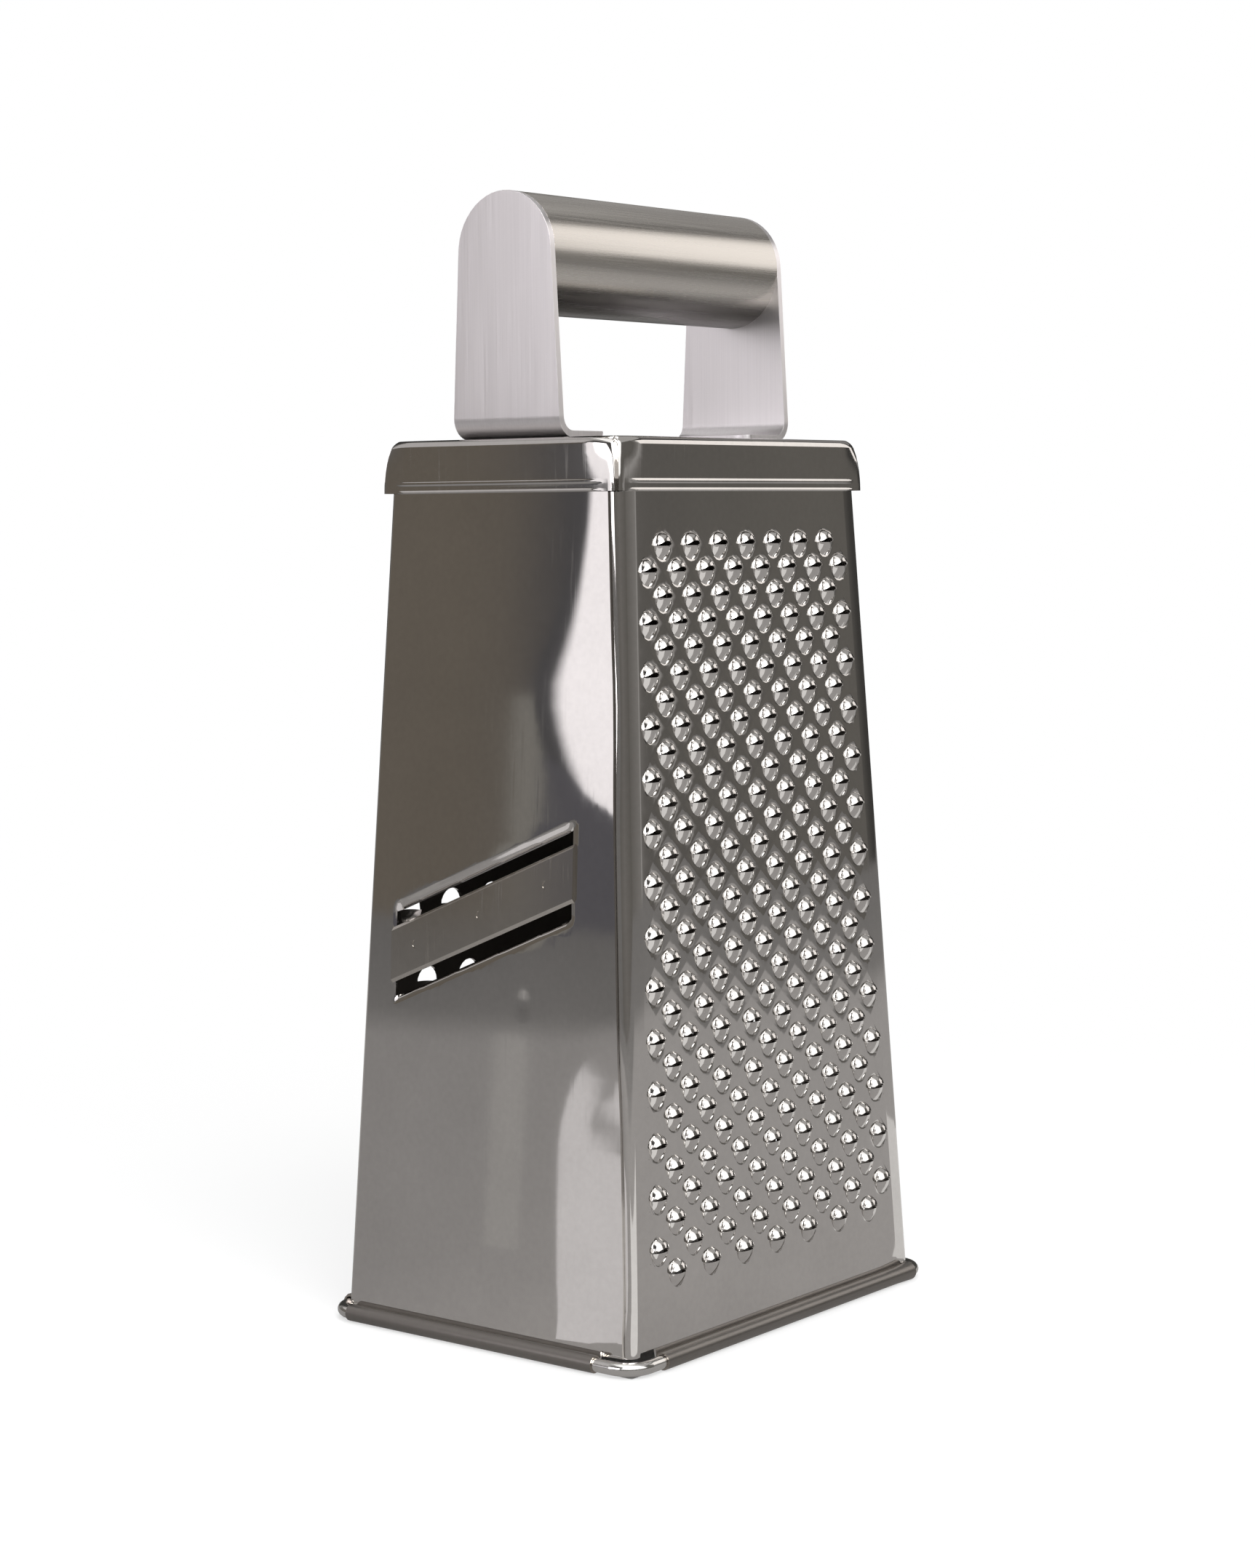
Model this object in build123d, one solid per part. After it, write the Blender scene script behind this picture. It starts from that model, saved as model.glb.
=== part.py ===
from build123d import *
import os
from math import asin, cos, degrees, radians, sin, sqrt, tan

# A box grater: four leaning walls of polished sheet on a wire rim, a pressed lid, and a tube
# handle on two brackets. Millimetres. The origin is on the floor under the middle of the rim,
# +Z is up, X runs along the handle and the two wide walls. The small shredding teeth face -Y,
# the slicer -X, the large shredding teeth +Y and the rasp +X.

# Walls
base_length = 108.0
base_depth = 83.3
wall_lean = 2.8
sheet = 0.6
corner_bend = 2.5
flange_depth = 9.0
lap_clearance = 0.05

# Rim
wire_diameter = 2.9
wire_clearance = 0.05
wire_bend = 5.5
curl_wrap = 290.0
curl_near_gap = 8.6
curl_far_gap = 3.8
foot_land = 0.12
corner_lift = 0.3
notch_rise = 1.6

# Lid
lid_bottom = 185.6
lid_height = 11.5
lid_clearance = 0.2
lid_seat_clearance = 0.1
lid_roll = 5.0
lid_band_height = 2.0
lid_band_proud = 0.25
lid_band_end = 4.5
corner_slit = 0.5

# Handle
handle_inset = 3.72
tube_diameter = 26.0
tube_wall = 0.8
finger_room = 26.9
strap = 1.5
foot_width = 29.8
bracket_bend = 4.7
foot_length = 16.0

# Small shredding teeth, in staggered rows that fan out with the wall
shred_rows = 29
shred_columns = 8
shred_pitch = 5.53
shred_first = 19.3
shred_margin = 10.2
shred_radius = 2.6
shred_stretch = 0.4
hood_height = 1.9
tongue_height = 1.1
tooth_skin_share = 0.75

# Large shredding teeth
coarse_rows = 9
coarse_columns = 6
coarse_pitch = 17.42
coarse_first = 21.3
coarse_margin = 14.9
coarse_radius = 3.9
coarse_stretch = 0.4
coarse_height = 2.7

# Rasp points
rasp_rows = 32
rasp_columns = 12
rasp_pitch = 4.9
rasp_first = 18.0
rasp_margin = 9.5
rasp_radius = 1.15
rasp_tip_radius = 0.75
rasp_hole_radius = 0.5
rasp_height = 0.9

# Slicer
slicer_lean = 22.8
slicer_height = 94.4
slicer_offset = -2.3
slicer_gap = 3.0
slicer_span = 50.0
lip_bend = 3.0
lip_turn = 42.0
blade_span = 51.5
blade_width = 11.4
blade_thickness = 0.8
blade_bevel = 0.7
blade_overhang = 0.5
weld_radius = 1.0
weld_depth = 0.12
weld_spread = 18.5

# Worked out from the sizes above
overrun = 2 * base_length
tooth_skin = tooth_skin_share * sheet
lean_cos = cos(radians(wall_lean))
lean_sin = sin(radians(wall_lean))
lean_tan = tan(radians(wall_lean))
half_length = base_length / 2
half_depth = base_depth / 2
curl_inner = wire_diameter / 2 + wire_clearance
curl_outer = curl_inner + sheet
curl_out = curl_outer - sheet
rim_height = curl_outer - foot_land
curl_up = (rim_height - curl_out * lean_sin) / lean_cos
rim_half_length = half_length - curl_up * lean_sin + curl_out * lean_cos
rim_half_depth = half_depth - curl_up * lean_sin + curl_out * lean_cos
corner_bottom = rim_height + wire_diameter / 2 + corner_lift
lid_top = lid_bottom + lid_height
lid_half_length = half_length - lid_bottom * lean_tan + lid_clearance + sheet
lid_half_depth = half_depth - lid_bottom * lean_tan + lid_clearance + sheet
handle_length = 2 * (lid_half_length - handle_inset)
tube_height = lid_top + finger_room + tube_diameter / 2

# The walls end where their outer edge meets the inside of the lid's rolled edge
roll_inner = lid_roll - sheet
roll_inset = lid_clearance + (lid_height - lid_roll / 2) * lean_tan
roll_rise = sqrt(roll_inner ** 2 - (roll_inner - roll_inset) ** 2)
wall_top = lid_top - lid_roll + roll_rise - lid_seat_clearance


def wall_frame(outward, along, half):
    """The outside plane of one leaning wall, with its origin at the floor and +Y up the wall."""
    foot = Vector(*outward) * half
    normal = Vector(*outward) * lean_cos + Vector(0, 0, 1) * lean_sin
    return Plane(origin=foot, x_dir=along, z_dir=normal)


front_frame = wall_frame((0, -1, 0), (1, 0, 0), half_depth)
back_frame = wall_frame((0, 1, 0), (-1, 0, 0), half_depth)
left_frame = wall_frame((-1, 0, 0), (0, -1, 0), half_length)
right_frame = wall_frame((1, 0, 0), (0, 1, 0), half_length)


def frustum(half_x, half_y, bottom, top, radius):
    """A leaning four-sided block whose half sizes are given at floor level, with bent corners."""
    width = 2 * (half_x - bottom * lean_tan)
    depth = 2 * (half_y - bottom * lean_tan)
    floor = Plane.XY.offset(bottom) * Rectangle(width, depth)
    block = extrude(floor, amount=top - bottom, taper=wall_lean)
    upright = block.edges().filter_by(lambda edge: edge.bounding_box().size.Z > (top - bottom) / 2)
    return fillet(upright, radius)


def curl(start, end):
    """The rolled bottom edge of a wall from start to end along it, in the wall's own frame."""
    section = Plane(origin=(start, curl_up, curl_out), x_dir=(0, 0, -1), z_dir=(1, 0, 0))
    outer = CenterArc((0, 0), curl_outer, 0, -curl_wrap)
    inner = CenterArc((0, 0), curl_inner, 0, -curl_wrap)
    face = make_face([outer, inner, Line(outer @ 0, inner @ 0), Line(outer @ 1, inner @ 1)])
    return extrude(section * face, amount=end - start)


def rim_edge(frame, half, near_gap, far_gap, near_is_first):
    """The strip and curl that join a wall to the rim wire, cut flat where they stand."""
    first_gap = near_gap if near_is_first else far_gap
    last_gap = far_gap if near_is_first else near_gap
    start = first_gap - half
    end = half - last_gap
    strip_top = corner_bottom + notch_rise + sheet
    strip = Pos((start + end) / 2, (curl_up + strip_top) / 2, -sheet / 2)
    strip = strip * Box(end - start, strip_top - curl_up, sheet)
    edge = frame * (strip + curl(start, end))
    return edge - Box(overrun, overrun, overrun, align=(Align.CENTER, Align.CENTER, Align.MAX))


def corner_notch(frame, half, gap, side):
    """The cut that lifts a wall's bottom edge off the wire between its curl and its corner."""
    width = gap - corner_bend - sheet
    middle = side * (half - gap + width / 2)
    top = corner_bottom + notch_rise
    return frame * (Pos(middle, top / 2, 0) * Box(width, top, 4 * sheet))


def staggered_places(half, rows, columns, pitch, first, margin, full_first):
    """Tooth centres in a wall's frame: rows of columns and columns - 1 teeth that fan with it."""
    places = []
    for row in range(rows):
        up = first + row * pitch
        spacing = 2 * (half - up * lean_sin - margin) / (columns - 1)
        full = (row % 2 == 0) == full_first
        count = columns if full else columns - 1
        for column in range(count):
            places.append((spacing * (column - (count - 1) / 2), up))
    return places


def half_dome(radius, height, middle, turn):
    """One half of a hollow round bump pressed out of the sheet, open across its middle."""
    ball = (radius ** 2 + height ** 2) / (2 * height)
    centre = height - ball
    caps = []
    for reach in (ball, ball - tooth_skin):
        low = degrees(asin((-sheet / 2 - centre) / reach))
        caps.append(Sphere(reach, low, 90, 180, align=None))
    return Pos(0, middle, centre) * Rot(0, 0, turn) * (caps[0] - caps[1])


def tooth_hole(radius, stretch):
    """The opening under one tooth, right through the sheet."""
    outline = SlotCenterToCenter(2 * stretch, 2 * (radius - tooth_skin), rotation=90)
    return Pos(0, 0, -2 * sheet) * extrude(outline, amount=4 * sheet)


def shredding_tooth():
    """A hood over a lower tongue, with the mouth between them open downwards."""
    hood = half_dome(shred_radius, hood_height, shred_stretch, 0)
    tongue = half_dome(shred_radius, tongue_height, -shred_stretch, 180)
    return [hood, tongue]


def coarse_tooth():
    """A large hood with its cutting edge facing up to a round hole."""
    return [half_dome(coarse_radius, coarse_height, -coarse_stretch, 180)]


def rasp_point():
    """A small burst crown round a punched hole."""
    crown = Cone(rasp_radius, rasp_tip_radius, rasp_height)
    crown = Pos(0, 0, rasp_height / 2 - sheet / 2) * crown
    bore = Cylinder(rasp_hole_radius, 4 * sheet + 2 * rasp_height)
    return [crown - bore]


def perforate(wall, frame, places, hole, pieces):
    """The wall with a hole at each place and the pressed-up pieces round it."""
    spots = [frame * Pos(along, up, 0) for along, up in places]
    pierced = wall - [spot * hole for spot in spots]
    return pierced + [spot * piece for spot in spots for piece in pieces]


def flanged_wall(frame, near_is_first):
    """A wide wall with both long edges bent back under the narrow walls."""
    inset = (sheet + lap_clearance) / lean_cos
    skin = sheet / lean_cos
    outer = frustum(half_length - inset, half_depth, corner_bottom, wall_top, corner_bend)
    hollow = frustum(
        half_length - inset - skin,
        half_depth - skin,
        corner_bottom - sheet,
        wall_top + sheet,
        corner_bend - sheet,
    )
    keep = frame * (Pos(0, 0, -flange_depth) * Box(
        2 * base_length, 3 * wall_top, flange_depth + sheet, align=(Align.CENTER, Align.CENTER, Align.MIN)))
    wall = (outer - hollow) & keep
    first_gap = curl_near_gap if near_is_first else curl_far_gap
    last_gap = curl_far_gap if near_is_first else curl_near_gap
    wall = wall - corner_notch(frame, half_length, first_gap, -1)
    wall = wall - corner_notch(frame, half_length, last_gap, 1)
    return wall + rim_edge(frame, half_length, curl_near_gap, curl_far_gap, near_is_first)


def flat_wall(frame, near_is_first):
    """A narrow flat wall that lies over the flanges of its two neighbours."""
    edge = half_depth - corner_bend
    low = corner_bottom / lean_cos
    high = wall_top / lean_cos
    outline = Polygon(
        (low * lean_sin - edge, low),
        (edge - low * lean_sin, low),
        (edge - high * lean_sin, high),
        (high * lean_sin - edge, high),
        align=None,
    )
    wall = frame * extrude(outline, amount=-sheet)
    first_gap = curl_near_gap if near_is_first else curl_far_gap
    last_gap = curl_far_gap if near_is_first else curl_near_gap
    wall = wall - corner_notch(frame, half_depth, first_gap, -1)
    wall = wall - corner_notch(frame, half_depth, last_gap, 1)
    return wall + rim_edge(frame, half_depth, curl_near_gap, curl_far_gap, near_is_first)


def front_panel():
    places = staggered_places(
        half_length, shred_rows, shred_columns, shred_pitch, shred_first, shred_margin, False)
    hole = tooth_hole(shred_radius, shred_stretch)
    return perforate(flanged_wall(front_frame, True), front_frame, places, hole, shredding_tooth())


def back_panel():
    places = staggered_places(
        half_length, coarse_rows, coarse_columns, coarse_pitch, coarse_first, coarse_margin, True)
    hole = tooth_hole(coarse_radius, coarse_stretch)
    return perforate(flanged_wall(back_frame, True), back_frame, places, hole, coarse_tooth())


def rasp_panel():
    places = staggered_places(
        half_depth, rasp_rows, rasp_columns, rasp_pitch, rasp_first, rasp_margin, True)
    hole = Cylinder(rasp_hole_radius, 4 * sheet)
    return perforate(flat_wall(right_frame, True), right_frame, places, hole, rasp_point())


# The slicer's own frame lies in the left wall with its X along the slanted blade.
slicer_frame = left_frame * Pos(slicer_offset, slicer_height, 0) * Rot(0, 0, slicer_lean)
bridge_half = blade_width / 2 - blade_overhang
lip_reach = lip_bend * sin(radians(lip_turn))
lip_start = blade_width / 2 + slicer_gap + lip_reach


def slanted_band(span, low, high, thickness):
    """A band along the blade from low to high across it, with its two ends upright on the wall."""
    half = span / 2 / cos(radians(slicer_lean))
    shear = tan(radians(slicer_lean))
    outline = Polygon(
        (low * shear - half, low),
        (low * shear + half, low),
        (high * shear + half, high),
        (high * shear - half, high),
        align=None,
    )
    return extrude(outline, amount=thickness)


def slicer_lip(side):
    """A lip turned smoothly into the grater along one side of the slicer window."""
    section = Plane(
        origin=(-slicer_span, side * lip_start, -lip_bend), x_dir=(0, side, 0), z_dir=(side, 0, 0))
    outer = CenterArc((0, 0), lip_bend, 90, lip_turn)
    inner = CenterArc((0, 0), lip_bend - sheet, 90, lip_turn)
    face = make_face([outer, inner, Line(outer @ 0, inner @ 0), Line(outer @ 1, inner @ 1)])
    lip = extrude(section * face, amount=side * 2 * slicer_span)
    reach = Pos(0, 0, -lip_bend) * slanted_band(slicer_span, -2 * lip_start, 2 * lip_start, 2 * lip_bend)
    return lip & reach


def slicer_panel():
    wall = flat_wall(left_frame, False)
    gaps = []
    for side in (1, -1):
        low = min(side * bridge_half, side * lip_start)
        high = max(side * bridge_half, side * lip_start)
        gaps.append(slicer_frame * (Pos(0, 0, -2 * sheet) * slanted_band(slicer_span, low, high, 4 * sheet)))
    wall = wall - gaps
    return wall + [slicer_frame * slicer_lip(side) for side in (1, -1)]


def slicer_blade():
    half = blade_width / 2
    blade = slanted_band(blade_span, -half, half, blade_thickness)
    edges = blade.edges().group_by(Axis.Z)[-1].sort_by(Axis.Y)
    blade = chamfer([edges[0], edges[-1]], blade_thickness - sheet / 4, blade_bevel)
    for step in (-1, 0, 1):
        place = Pos(step * weld_spread / cos(radians(slicer_lean)), 0, blade_thickness)
        blade = blade - place * Cylinder(weld_radius, 2 * weld_depth)
    return slicer_frame * blade


def rim_wire():
    path = Plane.XY.offset(rim_height) * RectangleRounded(2 * rim_half_length, 2 * rim_half_depth, wire_bend)
    route = path.wire()
    section = Plane(origin=route @ 0, z_dir=route % 0) * Circle(wire_diameter / 2)
    return sweep(section, path=route)


def lid():
    outer = Pos(0, 0, lid_bottom + lid_height / 2) * Box(2 * lid_half_length, 2 * lid_half_depth, lid_height)
    outer = fillet(outer.edges().group_by(Axis.Z)[-1], lid_roll)
    inner_length = 2 * (lid_half_length - sheet)
    inner_depth = 2 * (lid_half_depth - sheet)
    inner_height = lid_height - sheet
    inner = Pos(0, 0, lid_bottom + inner_height / 2) * Box(inner_length, inner_depth, inner_height)
    inner = fillet(inner.edges().group_by(Axis.Z)[-1], lid_roll - sheet)
    cap = outer - inner
    band_z = lid_bottom + lid_band_height / 2
    for side in (1, -1):
        long_band = Box(2 * (lid_half_length - lid_band_end), 2 * lid_band_proud, lid_band_height)
        cap = cap + Pos(0, side * lid_half_depth, band_z) * long_band
        short_band = Box(2 * lid_band_proud, 2 * (lid_half_depth - lid_band_end), lid_band_height)
        cap = cap + Pos(side * lid_half_length, 0, band_z) * short_band
    slit_height = lid_height - lid_roll
    for side_x in (1, -1):
        for side_y in (1, -1):
            slit = Rot(0, 0, 45 * side_x * side_y) * Box(4 * lid_roll, corner_slit, 2 * slit_height)
            cap = cap - Pos(side_x * lid_half_length, side_y * lid_half_depth, lid_bottom) * slit
    return cap


def handle_bracket(side):
    """A strap with a round top, bent inwards at the bottom into a foot on the lid."""
    outside = handle_length / 2
    top = tube_height + tube_diameter / 2
    upright = Pos(outside - strap / 2, (lid_top + top) / 2) * Rectangle(strap, top - lid_top)
    foot = Pos(outside - foot_length / 2, lid_top + strap / 2) * Rectangle(foot_length, strap)
    angle = upright + foot
    heel = angle.vertices().sort_by_distance((outside, lid_top))[0]
    angle = fillet(heel, bracket_bend)
    crook = angle.vertices().sort_by_distance((outside - strap, lid_top + strap))[0]
    angle = fillet(crook, bracket_bend - strap)
    length = extrude(Plane.XZ * angle, amount=foot_width, both=True)
    shoulder = lid_top + bracket_bend
    outline = Pos(0, tube_height) * Circle(tube_diameter / 2) + Polygon(
        (-tube_diameter / 2, tube_height),
        (-foot_width / 2, shoulder),
        (-foot_width / 2, lid_top - strap),
        (foot_width / 2, lid_top - strap),
        (foot_width / 2, shoulder),
        (tube_diameter / 2, tube_height),
        align=None,
    )
    bracket = length & extrude(Plane.YZ * outline, amount=handle_length)
    return bracket if side > 0 else mirror(bracket, about=Plane.YZ)


def handle_tube():
    length = handle_length - 2 * strap
    radius = tube_diameter / 2
    tube = Cylinder(radius, length) - Cylinder(radius - tube_wall, length)
    return Pos(0, 0, tube_height) * Rot(0, 90, 0) * tube


nodes = {
    "front_panel": front_panel(),
    "back_panel": back_panel(),
    "slicer_panel": slicer_panel(),
    "rasp_panel": rasp_panel(),
    "slicer_blade": slicer_blade(),
    "rim_wire": rim_wire(),
    "lid": lid(),
    "handle_bracket_left": handle_bracket(-1),
    "handle_bracket_right": handle_bracket(1),
    "handle_tube": handle_tube(),
}

os.makedirs("parts", exist_ok=True)
for name, shape in nodes.items():
    export_step(shape, f"parts/{name}.step")
    print(name, "volume", round(shape.volume), "solids", len(shape.solids()))
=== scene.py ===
# %% [markdown]
# This lesson dresses a box grater: four walls of bright sheet steel on a wire rim, a pressed lid and a
# brushed tube handle. The solid model gives every piece its place and size. Here the walls are punched,
# bent and curled again as thin sheet, because their teeth, lips and rolled edges are what the eye reads.

# %% Load the solid model as a fixed frame
import math
from types import SimpleNamespace

import bmesh
import bpy
from mathutils import Matrix, Vector, kdtree


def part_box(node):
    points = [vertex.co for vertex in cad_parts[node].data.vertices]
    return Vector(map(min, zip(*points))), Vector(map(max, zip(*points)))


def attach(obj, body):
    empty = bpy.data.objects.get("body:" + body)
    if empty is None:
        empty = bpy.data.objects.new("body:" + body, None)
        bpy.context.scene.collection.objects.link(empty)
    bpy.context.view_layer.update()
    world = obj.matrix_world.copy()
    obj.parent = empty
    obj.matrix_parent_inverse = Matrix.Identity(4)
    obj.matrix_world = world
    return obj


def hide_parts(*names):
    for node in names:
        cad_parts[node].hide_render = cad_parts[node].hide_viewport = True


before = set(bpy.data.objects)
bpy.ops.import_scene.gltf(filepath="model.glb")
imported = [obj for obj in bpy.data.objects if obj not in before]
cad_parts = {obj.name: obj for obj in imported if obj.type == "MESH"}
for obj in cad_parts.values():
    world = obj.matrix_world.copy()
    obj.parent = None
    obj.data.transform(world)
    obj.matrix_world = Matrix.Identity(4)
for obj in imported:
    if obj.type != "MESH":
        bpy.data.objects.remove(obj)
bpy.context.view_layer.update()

# %% [markdown]
# Each wall of the grater is a punched sheet that leans inwards and meets its neighbours at folded corners.
# It could be modelled where it stands, but teeth and curls are hard to place on a slope. So each wall is
# drawn flat, in its own frame: x runs along the wall, y up its slope and z out of it. One matrix then
# stands it in place. The same few sizes serve all four walls.

# %% Sizes of the sheet metal
mm = 0.001
lean = math.radians(2.8)
half_length = 54.0 * mm
half_depth = 41.65 * mm
sheet = 0.6 * mm
corner_bend = 2.5 * mm
flange_depth = 9.0 * mm
lap = 0.65 * mm
wall_top = 194.4 * mm
curl_middle = 1.98 * mm
curl_radius = 1.5 * mm
curl_wrap = math.radians(290)
curl_skin = 0.66
punched_skin = 0.4
same_place = 0.01 * mm
curl_near_gap = 8.6 * mm
curl_far_gap = 3.8 * mm
tab_bottom = 3.75 * mm
flange_step = 0.5 * mm
crease_width = 3.4 * mm
crease_tilt = math.radians(3.2)
notch_top = 4.7 * mm


def wall_place(outward, along, half):
    """The matrix that stands a flat wall in place, with its origin on the floor."""
    outward = Vector(outward)
    along = Vector(along)
    normal = outward * math.cos(lean) + Vector((0, 0, math.sin(lean)))
    turn = Matrix((along, normal.cross(along), normal)).transposed().to_4x4()
    return Matrix.Translation(outward * half) @ turn


front_place = wall_place((0, -1, 0), (1, 0, 0), half_depth)
back_place = wall_place((0, 1, 0), (-1, 0, 0), half_depth)
left_place = wall_place((-1, 0, 0), (0, -1, 0), half_length)
right_place = wall_place((1, 0, 0), (0, 1, 0), half_length)
print("wall lean:", round(math.degrees(lean), 1), "degrees")

# %% [markdown]
# The camera stands where the photograph was taken: just below the height of the lid, facing one corner.
# Its place and turn were worked out from the corners of the lid, the rim and the handle. A lens length in
# pixels becomes millimetres by the ratio of the sensor to the long side of the picture.

# %% Camera
photo_height = 2156
focal_pixels = 4154.7
camera_place = Vector((-540.2, -426.03, 181.18)) * mm
camera_turn = math.radians(-51.69)
camera_dip = math.radians(5.146)
camera_roll = math.radians(-0.518)

camera = bpy.data.objects.new("photo_camera", bpy.data.cameras.new("photo_camera"))
bpy.context.scene.collection.objects.link(camera)
camera.data.lens = focal_pixels / photo_height * camera.data.sensor_width
camera.data.clip_start = 0.01
dipped = Matrix.Rotation(math.pi / 2 - camera_dip, 4, "X") @ Matrix.Rotation(camera_roll, 4, "Z")
camera.matrix_world = (
    Matrix.Translation(camera_place) @ Matrix.Rotation(camera_turn, 4, "Z") @ dipped)
bpy.context.scene.camera = camera
bpy.context.scene.view_settings.view_transform = "Standard"
print("lens:", round(camera.data.lens, 2), "mm")

# %% [markdown]
# Polished steel has almost no colour of its own: it shows the room. A picture of a room could be wrapped
# round the scene, but screens that are drawn can be moved until each wall shows what it should. So the
# room is one upright ring round the grater, whose colour changes with the direction. A radial gradient
# gives the direction, and a colour ramp turns it into dark screens and white ones. Bent cards stand before
# the ring where one piece needs a light or a dark of its own. All of them show in reflections only.


# %% Helpers for nodes
def set_inputs(node, inputs):
    """Sets inputs of a node, each to a value, to an output or to the first output of another node."""
    for name, value in inputs.items():
        if isinstance(value, bpy.types.Node):
            value = value.outputs[0]
        if isinstance(value, bpy.types.NodeSocket):
            node.id_data.links.new(value, node.inputs[name])
        else:
            node.inputs[name].default_value = value


def add_node(tree, kind, inputs=None, **settings):
    """Adds a shader node with its settings and its inputs."""
    node = tree.nodes.new("ShaderNode" + kind)
    for name, value in settings.items():
        setattr(node, name, value)
    set_inputs(node, inputs or {})
    return node


def calculate(tree, operation, *values):
    """A math node on numbers, outputs or nodes."""
    return add_node(tree, "Math", dict(enumerate(values)), operation=operation)


def smooth_range(tree, value, low, high, at_low, at_high):
    """A number that goes smoothly from at_low to at_high while a value goes from low to high."""
    limits = {"Value": value, "From Min": low, "From Max": high, "To Min": at_low, "To Max": at_high}
    return add_node(tree, "MapRange", limits, interpolation_type="SMOOTHSTEP")


def direction_ramp(tree, colours):
    """A colour that changes with the direction round the grater, from (degrees, colour) stops."""
    place = add_node(tree, "TexCoord").outputs["Object"]
    direction = add_node(tree, "TexGradient", {"Vector": place}, gradient_type="RADIAL")
    ramp = add_node(tree, "ValToRGB", {"Fac": direction.outputs["Fac"]})
    stops = ramp.color_ramp.elements
    for turn, _ in colours[1:-1]:
        stops.new(0.5 + turn / 360)
    for stop, (turn, colour) in zip(stops, colours):
        stop.position = 0.5 + turn / 360
        stop.color = (*colour, 1)
    return ramp


# %% Helpers for the stage
def empty_material(name):
    """A material without nodes. Returns it with its node tree."""
    material = bpy.data.materials.new(name)
    material.use_nodes = True
    material.node_tree.nodes.clear()
    return material, material.node_tree


def mesh_object(name, bm, material):
    """Turns a bmesh into an object of the scene."""
    mesh = bpy.data.meshes.new(name)
    bm.to_mesh(mesh)
    bm.free()
    mesh.materials.append(material)
    piece = bpy.data.objects.new(name, mesh)
    bpy.context.scene.collection.objects.link(piece)
    return piece


def glowing_card(name, bm, colours):
    """A card that shows in reflections only. It has one colour, or (degrees, colour) stops round it."""
    material, tree = empty_material(name)
    colour = direction_ramp(tree, colours) if isinstance(colours[0], tuple) else (*colours, 1)
    glow = add_node(tree, "Emission", {"Color": colour, "Strength": 1.0})
    add_node(tree, "OutputMaterial", {"Surface": glow})
    card = mesh_object(name, bm, material)
    card.visible_camera = False
    card.visible_diffuse = False
    card.visible_shadow = False


def ray(turn, distance, height):
    """A point at a distance from the middle axis, in a direction in degrees."""
    turn = math.radians(turn)
    return Vector((distance * math.cos(turn), distance * math.sin(turn), height))


def bent_card(name, start, end, low, high, radius, colours):
    """An upright card bent round the grater, from a start to an end in degrees."""
    bm = bmesh.new()
    foot = bm.verts.new(ray(start, radius, low))
    head = bm.verts.new(ray(start, radius, high))
    edge = bm.edges.new((foot, head))
    bmesh.ops.spin(
        bm, geom=[foot, head, edge], cent=(0, 0, 0), axis=(0, 0, 1),
        angle=math.radians(end - start), steps=max(4, round((end - start) / 5)), use_duplicate=False)
    glowing_card(name, bm, colours)
    print(name, "from", start, "to", end, "degrees")


# %% The room and its bent cards
white_screen = (1.34, 1.3, 1.34)
handle_white = (3.5, 3.38, 3.5)
warm_dark = (0.165, 0.145, 0.121)
cool_dark = (0.085, 0.083, 0.087)
neutral_dark = (0.15, 0.143, 0.132)
back_dark = (0.06, 0.058, 0.055)
room_colours = (
    (-180, handle_white), (-175, handle_white), (-173, neutral_dark), (-120, (0.2, 0.19, 0.18)),
    (-52, neutral_dark), (-46.5, (0.26, 0.25, 0.24)), (-44.5, (0.45, 0.44, 0.43)), (-42, (0.22, 0.21, 0.2)),
    (-40.5, (0.13, 0.124, 0.116)), (-36, (0.155, 0.147, 0.134)), (-31, neutral_dark), (-25, back_dark),
    (40, back_dark), (70, (0.3, 0.29, 0.28)), (100, (0.17, 0.16, 0.15)), (136, warm_dark),
    (140.4, warm_dark), (141.6, cool_dark), (144.2, cool_dark), (144.7, white_screen), (152, white_screen),
    (154, handle_white), (180, handle_white))

# each card: name, start and end in degrees, foot and head and radius in metres, colour
for bent in (
    ("room", -180, 180, -0.02, 1.6, 1.6, room_colours),
    ("pale_strip", 140.9, 141.9, -0.02, 0.165, 1.55, (0.25, 0.24, 0.22)),
    ("low_dark", 142.0, 158, -0.02, 0.125, 1.52, (0.115, 0.112, 0.125)),
    ("handle_card", -44, -12, 0.33, 1.0, 1.2, (1.35, 1.296, 1.2555)),
    ("tooth_card", 194, 284, 0.45, 3.6, 1.5, (1.7, 1.7, 1.7)),
    ("low_side", 158, 200, -0.02, 0.3, 1.5, (0.2, 0.195, 0.19)),
    ("tube_top_card", -6, 36, 0.6, 1.3, 1.3, (0.27, 0.262, 0.257)),
    ("far_dark", 38, 75, 0.05, 3.2, 1.35, (0.05, 0.049, 0.047)),
    ("upper_dark", 140, 194, 0.9, 1.75, 1.5, (0.1, 0.098, 0.095)),
    ("lip_card", 88, 139, 0.65, 1.75, 1.4, (0.62, 0.6, 0.6)),
):
    bent_card(*bent)

# %% [markdown]
# Five flat cards lie just over the floor. Two light the lower half of the small teeth from below, and one
# lights the slicer's lower lip. The other two have an edge along the way that the left wall reflects, so
# they draw upright bands on it. A sixth card hangs overhead and whitens the upper half of the teeth.


# %% Flat cards
def flat_card(name, starts, corners, colour, height=0.002):
    """A level card. Each corner lies in a direction in degrees and at a distance from its start."""
    bm = bmesh.new()
    places = [Vector((*start, 0)) + ray(*corner, height) for start, corner in zip(starts, corners)]
    bm.faces.new([bm.verts.new(place) for place in places])
    bmesh.ops.triangulate(bm, faces=bm.faces)
    glowing_card(name, bm, colour)


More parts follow.
